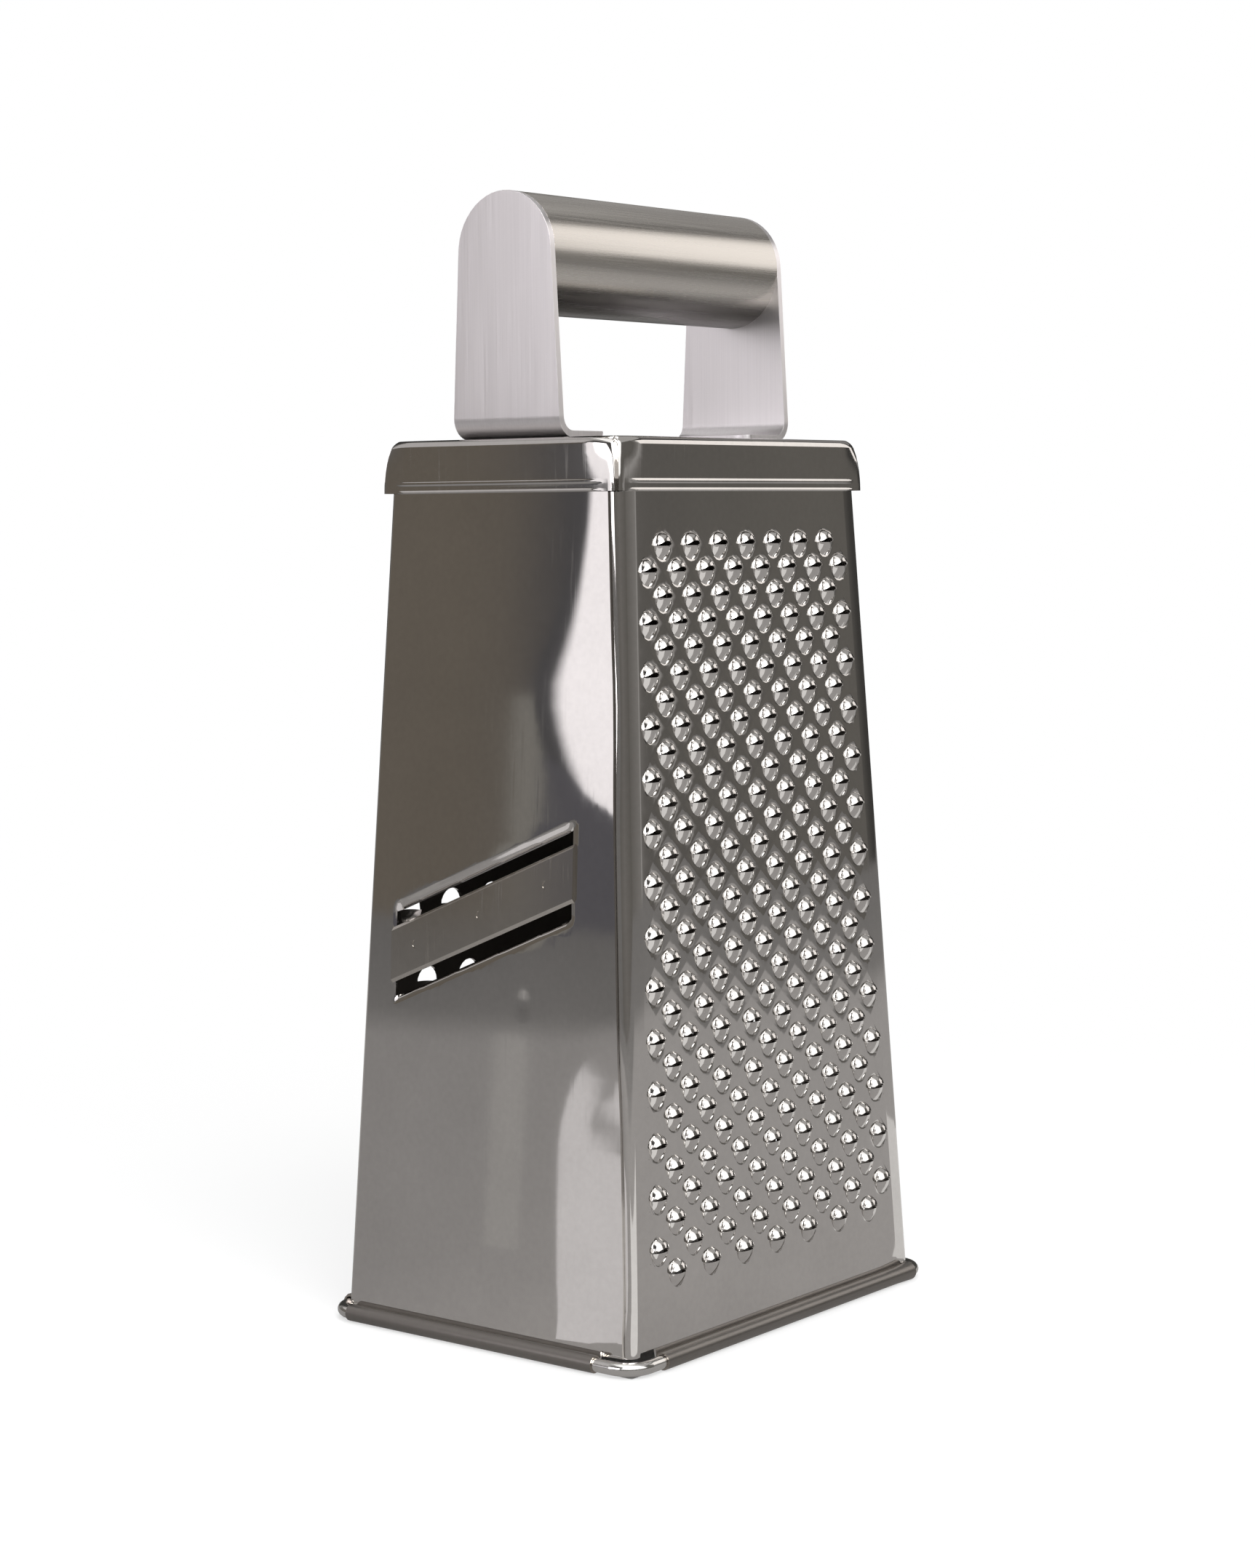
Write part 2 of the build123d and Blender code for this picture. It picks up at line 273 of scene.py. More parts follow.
front_corner = (-0.054, -0.045)
front_right = (0.05, -0.045)
seam_side = (-0.054, -0.02)
back_left = (-0.056, 0.05)
wall_middle = (-0.054, 0.0006)
wall_right = (-0.054, -0.009)
flat_card("tooth_floor_card", [front_corner] * 4, (
    (-150, 0.015), (-150, 0.4), (-64, 0.4), (-64, 0.015)), (0.95, 0.94, 0.93))
flat_card("side_floor_card", [front_right] * 4, (
    (-31, 0.015), (-31, 0.26), (50, 0.26), (50, 0.015)), (0.8, 0.79, 0.78))
flat_card("seam_floor_card", [seam_side] * 5, (
    (142.7, 0.015), (142.7, 0.52), (147, 0.34), (172, 0.26), (172, 0.015)), (0.78, 0.76, 0.77))
flat_card("strip_floor_card", [wall_middle, wall_middle, wall_right, wall_right], (
    (139.55, 0.12), (139.55, 0.68), (140.18, 0.68), (140.18, 0.12)), (0.4, 0.39, 0.38))
flat_card("lip_floor_card", [back_left] * 4, (
    (85, 0.01), (85, 0.4), (122, 0.4), (122, 0.01)), (0.7, 0.69, 0.68))
flat_card("overhead_card", [(0, 0)] * 6, (
    (85, 0.05), (100, 1.2), (175, 1.4), (-130, 1.7), (-75, 1.4), (-60, 0.05)), (1.5, 1.5, 1.5), height=2.0)
print("cards and room:", len(bpy.data.materials), "materials")

# %% [markdown]
# The camera sees a plain white world, and Light Path turns it dimmer for reflections, like a ceiling. The
# floor is pale for the camera and keeps a faint shadow: a white veil lies over it, but not under the
# grater. In reflections the floor glows grey, a painted pool of light that is darker further away. Two soft
# lamps do the rest.


# %% World
def tent_world(ceiling, light_strength):
    """A world that is white for the camera, dim in reflections and soft as a light."""
    world = bpy.data.worlds.new("tent")
    world.use_nodes = True
    tree = world.node_tree
    tree.nodes.clear()
    path = add_node(tree, "LightPath")
    white = (1, 1, 1, 1)
    shown = add_node(tree, "Background", {"Color": white, "Strength": light_strength})
    for kind, colour in (("Is Glossy Ray", (*ceiling, 1)), ("Is Camera Ray", white)):
        shade = add_node(tree, "Background", {"Color": colour, "Strength": 1.0})
        shown = add_node(tree, "MixShader", {0: path.outputs[kind], 1: shown, 2: shade})
    add_node(tree, "OutputWorld", {"Surface": shown})
    bpy.context.scene.world = world


tent_world(ceiling=(0.5, 0.49, 0.48), light_strength=0.55)
print("world:", bpy.context.scene.world.name)

# %% Floor
floor_radius = 6.0
floor_colours = (
    (-180, (0.28, 0.27, 0.265)), (-45, (0.3, 0.29, 0.285)), (-38, (0.31, 0.3, 0.295)),
    (60, (0.34, 0.33, 0.32)), (135, (0.215, 0.207, 0.205)), (143, (0.205, 0.198, 0.197)),
    (180, (0.28, 0.27, 0.265)))
grey_from = 0.69
grey_to = 0.86
far_grey = 0.45
veil_from = 0.1
veil_to = 0.4
near_veil = 0.62


def outside_grater(tree, place):
    """1 on the floor round the grater and 0 on the floor inside its four walls."""
    spot = add_node(tree, "VectorMath", {0: place}, operation="ABSOLUTE")
    sides = add_node(tree, "SeparateXYZ", {0: spot})
    past_ends = calculate(tree, "GREATER_THAN", sides.outputs["X"], half_length)
    past_sides = calculate(tree, "GREATER_THAN", sides.outputs["Y"], half_depth)
    return calculate(tree, "MAXIMUM", past_ends, past_sides)


def floor_material():
    """Pale matt floor, nearly white to the camera. In reflections it glows grey, a painted pool of light that
    darkens far away.
    """
    material, tree = empty_material("pale_floor")
    place = add_node(tree, "TexCoord").outputs["Object"]
    away = add_node(tree, "VectorMath", {0: place}, operation="LENGTH").outputs["Value"]
    reach = smooth_range(tree, away, grey_from, grey_to, 1.0, far_grey)
    # painted light: in reflections the floor glows, brightest near the grater like a pool of light
    painted_floor_glow = add_node(tree, "Emission", {"Color": direction_ramp(tree, floor_colours), "Strength": reach})
    shaded = add_node(tree, "BsdfDiffuse", {"Color": (0.1, 0.098, 0.096, 1)})
    grey = add_node(tree, "AddShader", {0: painted_floor_glow, 1: shaded})
    clear = smooth_range(tree, away, veil_from, veil_to, near_veil, 1.0)
    share = calculate(tree, "MULTIPLY", clear, outside_grater(tree, place))
    pale = add_node(tree, "BsdfDiffuse", {"Color": (0.86, 0.86, 0.86, 1)})
    white = add_node(tree, "Emission", {"Strength": 1.0})
    veil = add_node(tree, "MixShader", {0: share, 1: pale, 2: white})
    glossy = add_node(tree, "LightPath").outputs["Is Glossy Ray"]
    shown = add_node(tree, "MixShader", {0: glossy, 1: veil, 2: grey})
    add_node(tree, "OutputMaterial", {"Surface": shown})
    return material


floor_bm = bmesh.new()
bmesh.ops.create_circle(floor_bm, cap_ends=True, segments=64, radius=floor_radius)
mesh_object("floor", floor_bm, floor_material())
print("floor radius:", floor_radius, "m")


# %% Lamps
def soft_lamp(name, place, aim, size, power):
    """A square area lamp that looks at a point."""
    data = bpy.data.lights.new(name, "AREA")
    data.shape = "SQUARE"
    data.size = size
    data.energy = power
    lamp = bpy.data.objects.new(name, data)
    bpy.context.scene.collection.objects.link(lamp)
    heading = Vector(aim) - Vector(place)
    lamp.matrix_world = Matrix.Translation(place) @ heading.to_track_quat("-Z", "Y").to_matrix().to_4x4()
    lamp.visible_camera = False
    print(name, "at", place)


soft_lamp("key_lamp", (-0.66, -0.86, 1.2), (0, 0, 0.12), size=1.2, power=26)
soft_lamp("top_lamp", (0.35, 0.25, 1.5), (0, 0, 0.1), size=0.4, power=5)

# %% [markdown]
# Rolled steel isn't flat or clean when light glances off it. It has slow waves a few centimetres long,
# short scratches from the mill and from use, and a grain where it was brushed. They could be painted as
# pictures, but noise that is stretched and read in space has no seams and no repeats. Each is a node group,
# so that every steel piece can carry it at its own strength.


# %% Helpers for node groups
def new_group(name, inputs, outputs):
    """An empty shader node group with named number inputs, a place input and number outputs."""
    group = bpy.data.node_groups.new(name, "ShaderNodeTree")
    for label, value in inputs.items():
        socket = group.interface.new_socket(label, in_out="INPUT", socket_type="NodeSocketFloat")
        socket.default_value = value
    group.interface.new_socket("Place", in_out="INPUT", socket_type="NodeSocketVector")
    for label in outputs:
        group.interface.new_socket(label, in_out="OUTPUT", socket_type="NodeSocketFloat")
    return group, group.nodes.new("NodeGroupInput"), group.nodes.new("NodeGroupOutput")


def mapped(tree, place, scale=(1, 1, 1), turn=(0, 0, 0)):
    """The place vector multiplied by a scale on each axis and then turned."""
    return add_node(tree, "Mapping", {"Vector": place, "Scale": scale, "Rotation": turn})


def speckle(tree, place, scale, detail=2.0, roughness=0.5):
    """A noise texture read at a place."""
    return add_node(tree, "TexNoise", {
        "Vector": place, "Scale": scale, "Detail": detail, "Roughness": roughness})


# %% Groups for clouds, waves, scratches and brushing
def cloudy_group():
    """Faint cloudy patches and specks, as on steel that has been handled and wiped, from 0 to 1."""
    group, given, out = new_group("cloudy_tone", {}, ["Tone"])
    clouds = speckle(group, given.outputs["Place"], 38, 5.0, 0.65)
    specks = speckle(group, given.outputs["Place"], 700, 2.0)
    some_specks = calculate(group, "MULTIPLY", specks, 0.35)
    set_inputs(out, {"Tone": calculate(group, "MULTIPLY_ADD", clouds, 0.65, some_specks)})
    return group


def waves_group():
    """Slow waves of thin sheet, as a height in millimetres."""
    group, given, out = new_group("sheet_waves", {"Height mm": 0.1}, ["Height"])
    slow = speckle(group, mapped(group, given.outputs["Place"], (1, 1, 0.45)), 26, 1.0)
    quick = speckle(group, given.outputs["Place"], 90, 1.0)
    both = calculate(group, "MULTIPLY_ADD", quick, 0.12, slow)
    set_inputs(out, {"Height": calculate(group, "MULTIPLY", both, given.outputs["Height mm"])})
    return group


def scratches_group():
    """Sparse fine scratches in three leaning directions, as a mask from 0 to 1."""
    group, given, out = new_group("fine_scratches", {"Amount": 0.5}, ["Mask"])
    lines = 0.0
    for turn, scale in ((0.5, 900), (-0.35, 1300), (1.2, 1100)):
        leaning = mapped(group, given.outputs["Place"], (1, 1, 0.035), (turn, turn, turn))
        line = calculate(group, "SUBTRACT", speckle(group, leaning, scale, 1.0), 0.66)
        lines = calculate(group, "ADD", lines, calculate(group, "MAXIMUM", line, 0.0))
    patch = speckle(group, given.outputs["Place"], 45, 2.0)
    masked = calculate(group, "MULTIPLY", lines, patch)
    mask = calculate(group, "MULTIPLY", masked, given.outputs["Amount"])
    set_inputs(out, {"Mask": calculate(group, "MULTIPLY", mask, 9.0)})
    return group


def brushing_group():
    """Fine parallel brush lines that run along the Z of the place vector, as a height and a tone."""
    group, given, out = new_group("brushed_grain", {"Fineness": 1.0}, ["Height", "Tone"])
    scaled = {"Scale": given.outputs["Fineness"], 0: given.outputs["Place"]}
    sized = add_node(group, "VectorMath", scaled, operation="SCALE")
    fine = speckle(group, mapped(group, sized, (1, 1, 0.006)), 6000, 2.0, 0.6)
    broad = speckle(group, mapped(group, sized, (1, 1, 0.01)), 2200, 2.0, 0.6)
    set_inputs(out, {"Height": calculate(group, "MULTIPLY_ADD", fine, 0.6, broad), "Tone": broad})
    return group


cloudy_tone = cloudy_group()
sheet_waves = waves_group()
fine_scratches = scratches_group()
brushed_grain = brushing_group()
print("groups:", [g.name for g in bpy.data.node_groups])

# %% [markdown]
# The bright steel is a metal with a low roughness. Its slow waves go through a Bump node, so that straight
# reflections bend a little as on real sheet, and scratches make it rougher where they cross. The brushed
# handle is rougher, with its grain across the way that the light is spread. Its underside has painted shade:
# faces that look down get a darker base colour, for the little light that comes between the tube and the lid.


# %% Helpers for steel
def steel_material(name):
    """A metal material. Returns it with its node tree, its shader and the place on the piece."""
    material = bpy.data.materials.new(name)
    material.use_nodes = True
    tree = material.node_tree
    shader = tree.nodes["Principled BSDF"]
    shader.inputs["Metallic"].default_value = 1.0
    return material, tree, shader, add_node(tree, "TexCoord").outputs["Object"]


def toned(tree, tone, colour, darker, lighter):
    """A colour between a darker and a lighter one, by a tone from 0 to 1."""
    ends = {"A": (*[darker * x for x in colour], 1), "B": (*[lighter * x for x in colour], 1)}
    return add_node(tree, "Mix", {"Factor": tone, **ends}, data_type="RGBA").outputs["Result"]


# %% Bright steel
def bright_steel(name, colour, roughness, wave_height, scratch_amount):
    """Polished sheet steel with slow waves and fine scratches."""
    material, tree, shader, place = steel_material(name)
    clouds = add_node(tree, "Group", {"Place": place}, node_tree=cloudy_tone)
    waves = add_node(tree, "Group", {"Place": place, "Height mm": wave_height}, node_tree=sheet_waves)
    lines = add_node(tree, "Group", {"Place": place, "Amount": scratch_amount}, node_tree=fine_scratches)
    rough = add_node(tree, "MapRange", {
        "Value": lines.outputs["Mask"], "To Min": roughness, "To Max": roughness + 0.35})
    slow = add_node(tree, "Bump", {"Height": waves.outputs["Height"], "Distance": mm})
    fine = add_node(tree, "Bump", {
        "Height": lines.outputs["Mask"], "Distance": 0.01 * mm, "Strength": 0.6, "Normal": slow}, invert=True)
    clouded = toned(tree, clouds.outputs["Tone"], colour, 0.84, 1.13)
    set_inputs(shader, {"Base Color": clouded, "Roughness": rough, "Normal": fine})
    return material


# settings: colour, roughness, height of the waves in mm, amount of scratches
wall_steel = bright_steel("bright_sheet", (0.64, 0.62, 0.6), 0.05, 0.05, 0.1)
curl_steel = bright_steel("rolled_edge", (0.46, 0.42, 0.38), 0.16, 0.03, 0.9)
# the inner side is rougher, and its dark colour is painted shade for the inside of the grater
dull_shaded_inside_steel = bright_steel("dull_and_shaded_inside", (0.24, 0.225, 0.21), 0.34, 0.02, 0.5)
lid_steel = bright_steel("bright_lid_sheet", (0.62, 0.6, 0.58), 0.07, 0.06, 0.25)
wire_steel = bright_steel("bright_wire", (0.68, 0.67, 0.65), 0.14, 0.02, 0.6)
blade_steel = bright_steel("satin_blade", (0.58, 0.55, 0.51), 0.1, 0.03, 0.3)
print("materials:", [m.name for m in bpy.data.materials])


# %% Brushed steel
down_facing = -0.72
side_facing = -0.44


def brushed_steel(name, colour, roughness, groove, turn, fineness, underside_shade):
    """Satin steel with brush lines along one axis. The underside shade factor paints shade into the colour of
    faces that look down.
    """
    material, tree, shader, place = steel_material(name)
    along = mapped(tree, place, turn=turn)
    grain = add_node(tree, "Group", {"Place": along, "Fineness": fineness}, node_tree=brushed_grain)
    tone = grain.outputs["Tone"]
    # painted shade: faces that look down get a darker base colour, as if in the lid's shade
    facing = add_node(tree, "SeparateXYZ", {0: add_node(tree, "NewGeometry").outputs["Normal"]})
    shade = smooth_range(tree, facing.outputs["Z"], down_facing, side_facing, underside_shade, 1.0)
    shaded = add_node(tree, "VectorMath", {
        0: toned(tree, tone, colour, 0.93, 1.07), "Scale": shade}, operation="SCALE")
    rough = add_node(tree, "MapRange", {
        "Value": tone, "To Min": roughness - 0.06, "To Max": roughness + 0.08})
    bump = add_node(tree, "Bump", {
        "Height": grain.outputs["Height"], "Distance": groove * mm, "Strength": 0.5})
    set_inputs(shader, {"Base Color": shaded, "Roughness": rough, "Normal": bump})
    return material


tube_steel = brushed_steel(
    "brushed_tube", (0.66, 0.63, 0.59), 0.25, groove=0.007, turn=(0, math.radians(90), 0), fineness=1.3,
    underside_shade=0.2)
bracket_steel = brushed_steel(
    "brushed_bracket", (0.82, 0.795, 0.805), 0.31, groove=0.015, turn=(0, 0, 0), fineness=1.2, underside_shade=0.5)
print("brushed steel:", tube_steel.name, bracket_steel.name)


# %% [markdown]
# The whole grater is thin sheet. Both sides of a sheet could be modelled, but a Solidify modifier makes the
# inner side and the rims from the outer one, so every form is drawn once. Edge Split then keeps the cut
# rims crisp, and Weighted Normal keeps flat faces flat, which a mirror finish shows at once.


# %% Helpers that make a finished piece
def new_piece(name, bm, material, stands_for):
    """A named piece that rides on the grater in the place of one solid."""
    piece = mesh_object(name, bm, material)
    piece.data.shade_smooth()
    piece.data.set_sharp_from_angle(angle=math.radians(35))
    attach(piece, "root")
    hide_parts(stands_for)
    print(name, "has", len(piece.data.polygons), "faces before its thickness")
    return piece


def add_thickness(piece, thickness):
    """Thickens a sheet inwards. Returns the modifier."""
    solid = piece.modifiers.new("thickness", "SOLIDIFY")
    solid.thickness = thickness
    solid.offset = -1
    return solid


def crisp_rims(piece, split_angle=38):
    """Gives a thickened sheet crisp rims and flat faces that stay flat."""
    crisp = piece.modifiers.new("crisp_rims", "EDGE_SPLIT")
    crisp.use_edge_sharp = False
    crisp.split_angle = math.radians(split_angle)
    flat = piece.modifiers.new("flat_faces", "WEIGHTED_NORMAL")
    flat.mode = "FACE_AREA"
    flat.keep_sharp = True


# %% [markdown]
# The left wall is drawn in a little beside the corner that faces the camera, more at some heights than at
# others, and its mirror shows that as a bright band. A sculpted dent would be uneven along the edge, so a
# short table of widths and slopes is blended instead. The front wall's flange lies under and follows it.


# %% Helpers for the left wall's near edge
def smooth_step(low, high, x):
    """0 below low, 1 above high and an S between."""
    t = min(1.0, max(0.0, (x - low) / (high - low)))
    return t * t * (3 - 2 * t)


# each stop: height up the wall in mm, width of the drawn-in strip in mm, slope at its edge
edge_strip = (
    (5, 24, 0.06), (40, 24, 0.06), (54, 22, 0.06), (62, 16, 0.04), (70, 8, 0.01), (114, 8, 0.008),
    (123, 13, 0.03), (130, 17, 0.055), (137, 21, 0.06), (144, 24, 0.06), (153, 16, 0.06),
    (163, 11, 0.06), (180, 6, 0.06), (196, 4.6, 0.06))
strip_start = 7 * mm
strip_full = 16 * mm


def strip_at(up):
    """The width and slope of the drawn-in strip beside the near corner."""
    for (low, width, slope), (high, next_width, next_slope) in zip(edge_strip, edge_strip[1:]):
        if up <= high * mm:
            share = max(0.0, (up / mm - low) / (high - low))
            return (width + (next_width - width) * share) * mm, slope + (next_slope - slope) * share
    return edge_strip[-1][1] * mm, edge_strip[-1][2]


def edge_fall(up):
    """How far the left wall's near edge is drawn in at a height."""
    width, slope = strip_at(up)
    return slope * width / 2 * smooth_step(strip_start, strip_full, up)


print("the near edge is drawn in up to", round(1000 * edge_fall(strip_full), 2), "mm")


# %% [markdown]
# The teeth stand in rows that take turns, so each lies between two of the row below. Holes could be cut
# with booleans, but those leave long thin faces that a mirror finish shows. Here a punched wall starts as
# a flat sheet of squares whose corners fan in with the wall. Every second corner carries a tooth. Splitting
# the four squares round it and dissolving the corner leaves a diamond cell, and the cells tile the wall
# without a gap. Each cell is then inset twice, which gives the rim of its hole.


# %% Sizes of a wall and its field of teeth
class Pattern(SimpleNamespace):
    """The sizes of a wall and its field of teeth.

    half is half the wall's length on the floor and margin the plain strip beside the field. full_first says
    that the lowest row is a wide one, near_side has the wide notch, and top_rows over the field are plain.
    """

    def flat_half(self, up):
        """Half the width of the flat stretch at a height, up to where the corner bend starts."""
        inset = lap if self.bend else 0
        return self.half - inset - corner_bend - up * math.sin(lean)

    def spacing(self, up):
        """The distance between neighbouring teeth of a row."""
        return 2 * (self.half - up * math.sin(lean) - self.margin) / (self.columns - 1)


def row_heights(pattern):
    """The heights of the rows of corners, from the curl to the top edge."""
    low = [curl_middle, notch_top + sheet]
    up = pattern.first - pattern.pitch
    below = []
    while up > low[-1] + 2 * mm:
        below.append(up)
        up -= pattern.pitch
    field = [pattern.first + k * pattern.pitch for k in range(pattern.rows)]
    over = [field[-1] + k * pattern.pitch for k in range(1, pattern.top_rows + 1)]
    return low + below[::-1] + field + over + [wall_top / math.cos(lean)], len(low) + len(below)


def side_columns(pattern, up):
    """Distances past the tooth field's outer corner, unrolled, on one side of the wall."""
    flat = pattern.flat_half(up)
    outer = pattern.columns * pattern.spacing(up) / 2
    if not pattern.bend:
        return [flat - (flat - outer) * 0.45, flat]
    turns = [flat + corner_bend * math.pi / 2 * k / 4 for k in range(5)]
    flange = flat + corner_bend * math.pi / 2 + flange_depth - corner_bend
    return [flat - crease_width + flange_step] + turns + [flange]


def bottom_edge(pattern, side, index, x, flat):
    """Where a bottom corner of the sheet lies, with the notch beside the curl."""
    gap = curl_near_gap if side == pattern.near_side else curl_far_gap
    inset = lap if pattern.bend else 0
    curl_end = flat + corner_bend + inset - gap
    if index == pattern.columns - (1 if side == pattern.near_side else 0):
        return curl_end, curl_middle
    if index == pattern.columns and side == pattern.near_side:
        return curl_end + sheet / 3, notch_top
    if index == pattern.columns + 1:
        return max(flat - sheet / 2, curl_end + sheet / 3), notch_top
    if index > pattern.columns + 1:
        return x, tab_bottom
    return x, curl_middle


# %% Flat sheet of squares with the punched cells
def corner_place(pattern, column, row, up):
    """Where a corner of the squares lies on the flat sheet, as x and y."""
    side = -1 if column < 0 else 1
    index = abs(column)
    flat = pattern.flat_half(up)
    if index < pattern.columns or index == pattern.columns and not pattern.bend:
        x = index * pattern.spacing(up) / 2
    elif index == pattern.columns:
        x = flat - crease_width
    else:
        x = side_columns(pattern, up)[index - pattern.columns - 1]
    if row == 0:
        x, up = bottom_edge(pattern, side, index, x, flat)
    if row == 1 and index == pattern.columns - 1 and side == pattern.near_side:
        x = bottom_edge(pattern, side, index, x, flat)[0]
    return side * x, up


def is_tooth(pattern, column, row):
    """True for every second corner of the field. Wide and narrow rows take turns."""
    wide = (row % 2 == 0) == pattern.full_first
    odd = (column + pattern.columns - 1) % 2 == 0
    return 0 <= row < pattern.rows and odd == wide and abs(column) <= pattern.columns - (1 if wide else 2)


def punched_blank(pattern, punched=True):
    """The flat sheet, with a diamond cell round each tooth. Returns the bmesh and the tooth centres."""
    heights, first_row = row_heights(pattern)
    middle = pattern.columns + len(side_columns(pattern, 0))
    bm = bmesh.new()
    bmesh.ops.create_grid(bm, x_segments=2 * middle, y_segments=len(heights) - 1, size=1)
    teeth = []
    for v in bm.verts:
        column = round((v.co.x + 1) * middle) - middle
        row = round((v.co.y + 1) / 2 * (len(heights) - 1))
        v.co = Vector((*corner_place(pattern, column, row, heights[row]), 0))
        if punched and is_tooth(pattern, column, row - first_row):
            teeth.append(v)
    toothed = set(teeth)
    for face in list(bm.faces):
        if toothed & set(face.verts):
            corners = [v for v in face.verts if v not in toothed]
            if len(corners) == 3:
                tooth = next(v for v in face.verts if v in toothed)
                corners = [v for v in corners if any(v in e.verts for e in tooth.link_edges)]
            bmesh.utils.face_split(face, corners[0], corners[1])
    centres = [v.co.copy() for v in teeth]
    bmesh.ops.dissolve_verts(bm, verts=teeth)
    return bm, centres


def cell_at(bm, centres):
    """The face of the sheet that holds each centre, in the same order."""
    bm.faces.index_update()
    bm.faces.ensure_lookup_table()
    middles = kdtree.KDTree(len(bm.faces))
    for face in bm.faces:
        middles.insert(face.calc_center_median(), face.index)
    middles.balance()
    return [bm.faces[middles.find(c)[1]] for c in centres]


# %% Rim of each hole
def place_ring(face, centre, half_width, half_height, depth):
    """Moves the corners of a cell on to an ellipse round its centre."""
    wide = max(abs(v.co.x - centre.x) for v in face.verts)
    tall = max(abs(v.co.y - centre.y) for v in face.verts)
    for v in face.verts:
        right = (v.co.x - centre.x) / wide
        up = (v.co.y - centre.y) / tall
        total = max(abs(right) + abs(up), 1e-9)
        turn = math.pi / 2 * abs(up) / total
        v.co.x = centre.x + math.copysign(math.cos(turn), right) * half_width
        v.co.y = centre.y + math.copysign(math.sin(turn), up) * half_height
        v.co.z = depth


def open_cells(bm, centres, half_width, half_height, halo, dip, cuts):
    """Insets every cell twice on to round outlines, and returns the rim edges of each hole."""
    cells = cell_at(bm, centres)
    edges = list({e for face in cells for e in face.edges})
    bmesh.ops.bisect_edges(bm, edges=edges, cuts=cuts)
    for thickness, more, depth in ((0.2 * mm, halo, 0), (0.1 * mm, 0, -dip)):
        bmesh.ops.inset_individual(bm, faces=cells, thickness=thickness, depth=0, use_even_offset=False)
        for face, centre in zip(cells, centres):
            place_ring(face, centre, half_width + more, half_height + more, depth)
    rims = [list(face.edges) for face in cells]
    bmesh.ops.delete(bm, geom=cells, context="FACES_ONLY")
    return rims


# %% [markdown]
# A shredding tooth is sheet that a punch has torn and pushed out. Its hood and its tongue are each half a
# dome, so the rim of the hole is extruded inwards a row at a time, and every new row is placed on the
# dome. The last row is the free edge, and the two free edges leave the mouth open between them.
# Stretched sheet is thinner, so the new rows carry a lower weight for the thickness.


# %% Press teeth out of the rims
def press_half(bm, rim, centre, half_width, half_height, dip, side, proud, rows, arch=0.0, ramp=0.0):
    """Draws one half of a hole's rim inwards as a dome, or part of a ramp, that ends in a free edge."""
    skin_of = bm.verts.layers.deform.verify()
    half_rim = [e for e in rim if side * (sum(v.co.y for v in e.verts) / 2 - centre.y) > 0]
    for row in range(1, rows + 1):
        made = bmesh.ops.extrude_edge_only(bm, edges=half_rim)["geom"]
        corners = {g for g in made if isinstance(g, bmesh.types.BMVert)}
        half_rim = [g for g in made if isinstance(g, bmesh.types.BMEdge) and set(g.verts) <= corners]
        share = row / rows
        for v in corners:
            out = min(1.0, abs(v.co.x - centre.x) / half_width)
            root = math.sqrt(1 - out * out)
            edge = arch * (1 - out * out)
            up = root + (edge - root) * share
            v.co.y = centre.y + side * up * half_height
            dome = math.sqrt(max(0.0, 1 - out * out - up * up))
            slope = max(0.0, root - up)
            v.co.z = proud * (dome + ramp * (slope - dome)) - dip * (1 - share)
            v[skin_of][0] = punched_skin


# %% [markdown]
# A press brake bends the long edges of the two wide walls back as flanges, and a roller curls every bottom
# edge round the rim wire. The same order works here. The flanges are bent by moving the flat corners on to
# an arc, and the Spin operator sweeps the bottom edge round the middle of the wire. The curl and the inner
# side get materials of their own.


# %% Bend, curl and stand up a wall
def bend_flanges(bm, pattern, drawn_in):
    """Bends both edges back as flanges. The near one follows the left wall's drawn-in strip if told to."""
    for v in bm.verts:
        flat = pattern.flat_half(v.co.y)
        over = abs(v.co.x) - flat
        v.co.z -= math.tan(crease_tilt) * min(crease_width, max(0.0, over + crease_width))
        if over <= 0:
            continue
        quarter = corner_bend * math.pi / 2
        turn = min(over, quarter) / corner_bend
        x = flat + corner_bend * math.sin(turn)
        if drawn_in and v.co.x * pattern.near_side > 0:
            x -= edge_fall(v.co.y) * (1 - math.cos(turn))
        v.co.z -= corner_bend * (1 - math.cos(turn)) + max(0, over - quarter)
        v.co.x = math.copysign(x, v.co.x)


def roll_bottom(bm):
    """Curls the bottom edge round the place of the wire."""
    rims = [e for e in bm.edges if e.is_boundary]
    low = [e for e in rims if all(abs(v.co.y - curl_middle) < same_place for v in e.verts)]
    sheet_faces = set(bm.faces)
    bmesh.ops.spin(
        bm, geom=low + list({v for e in low for v in e.verts}), cent=(0, curl_middle, curl_radius),
        axis=(1, 0, 0), angle=curl_wrap, steps=16, use_duplicate=False)
    curl_faces = [f for f in bm.faces if f not in sheet_faces]
    bmesh.ops.reverse_faces(bm, faces=curl_faces)
    for face in curl_faces:
        face.material_index = 1


def finish_wall(bm, pattern, place, name, stands_for, crisp_from=62, drawn_in=False):
    """Bends the flanges, curls the bottom, stands the wall up and gives it its thickness."""
    if pattern.bend:
        bend_flanges(bm, pattern, drawn_in)
    roll_bottom(bm)
    bmesh.ops.remove_doubles(bm, verts=bm.verts, dist=0.002 * mm)
    skin_of = bm.verts.layers.deform.verify()
    for v in bm.verts:
        if v.co.y < curl_middle + curl_radius and v.co.z > -same_place:
            v[skin_of][0] = curl_skin
        elif 0 not in v[skin_of]:
            v[skin_of][0] = 1.0
    bmesh.ops.transform(bm, matrix=place, verts=bm.verts)
    piece = new_piece(name, bm, wall_steel, stands_for)
    piece.data.materials.append(curl_steel)
    piece.data.materials.append(dull_shaded_inside_steel)
    piece.vertex_groups.new(name="thickness")
    solid = add_thickness(piece, sheet)
    solid.vertex_group = "thickness"
    solid.material_offset = 2
    crisp_rims(piece, crisp_from)


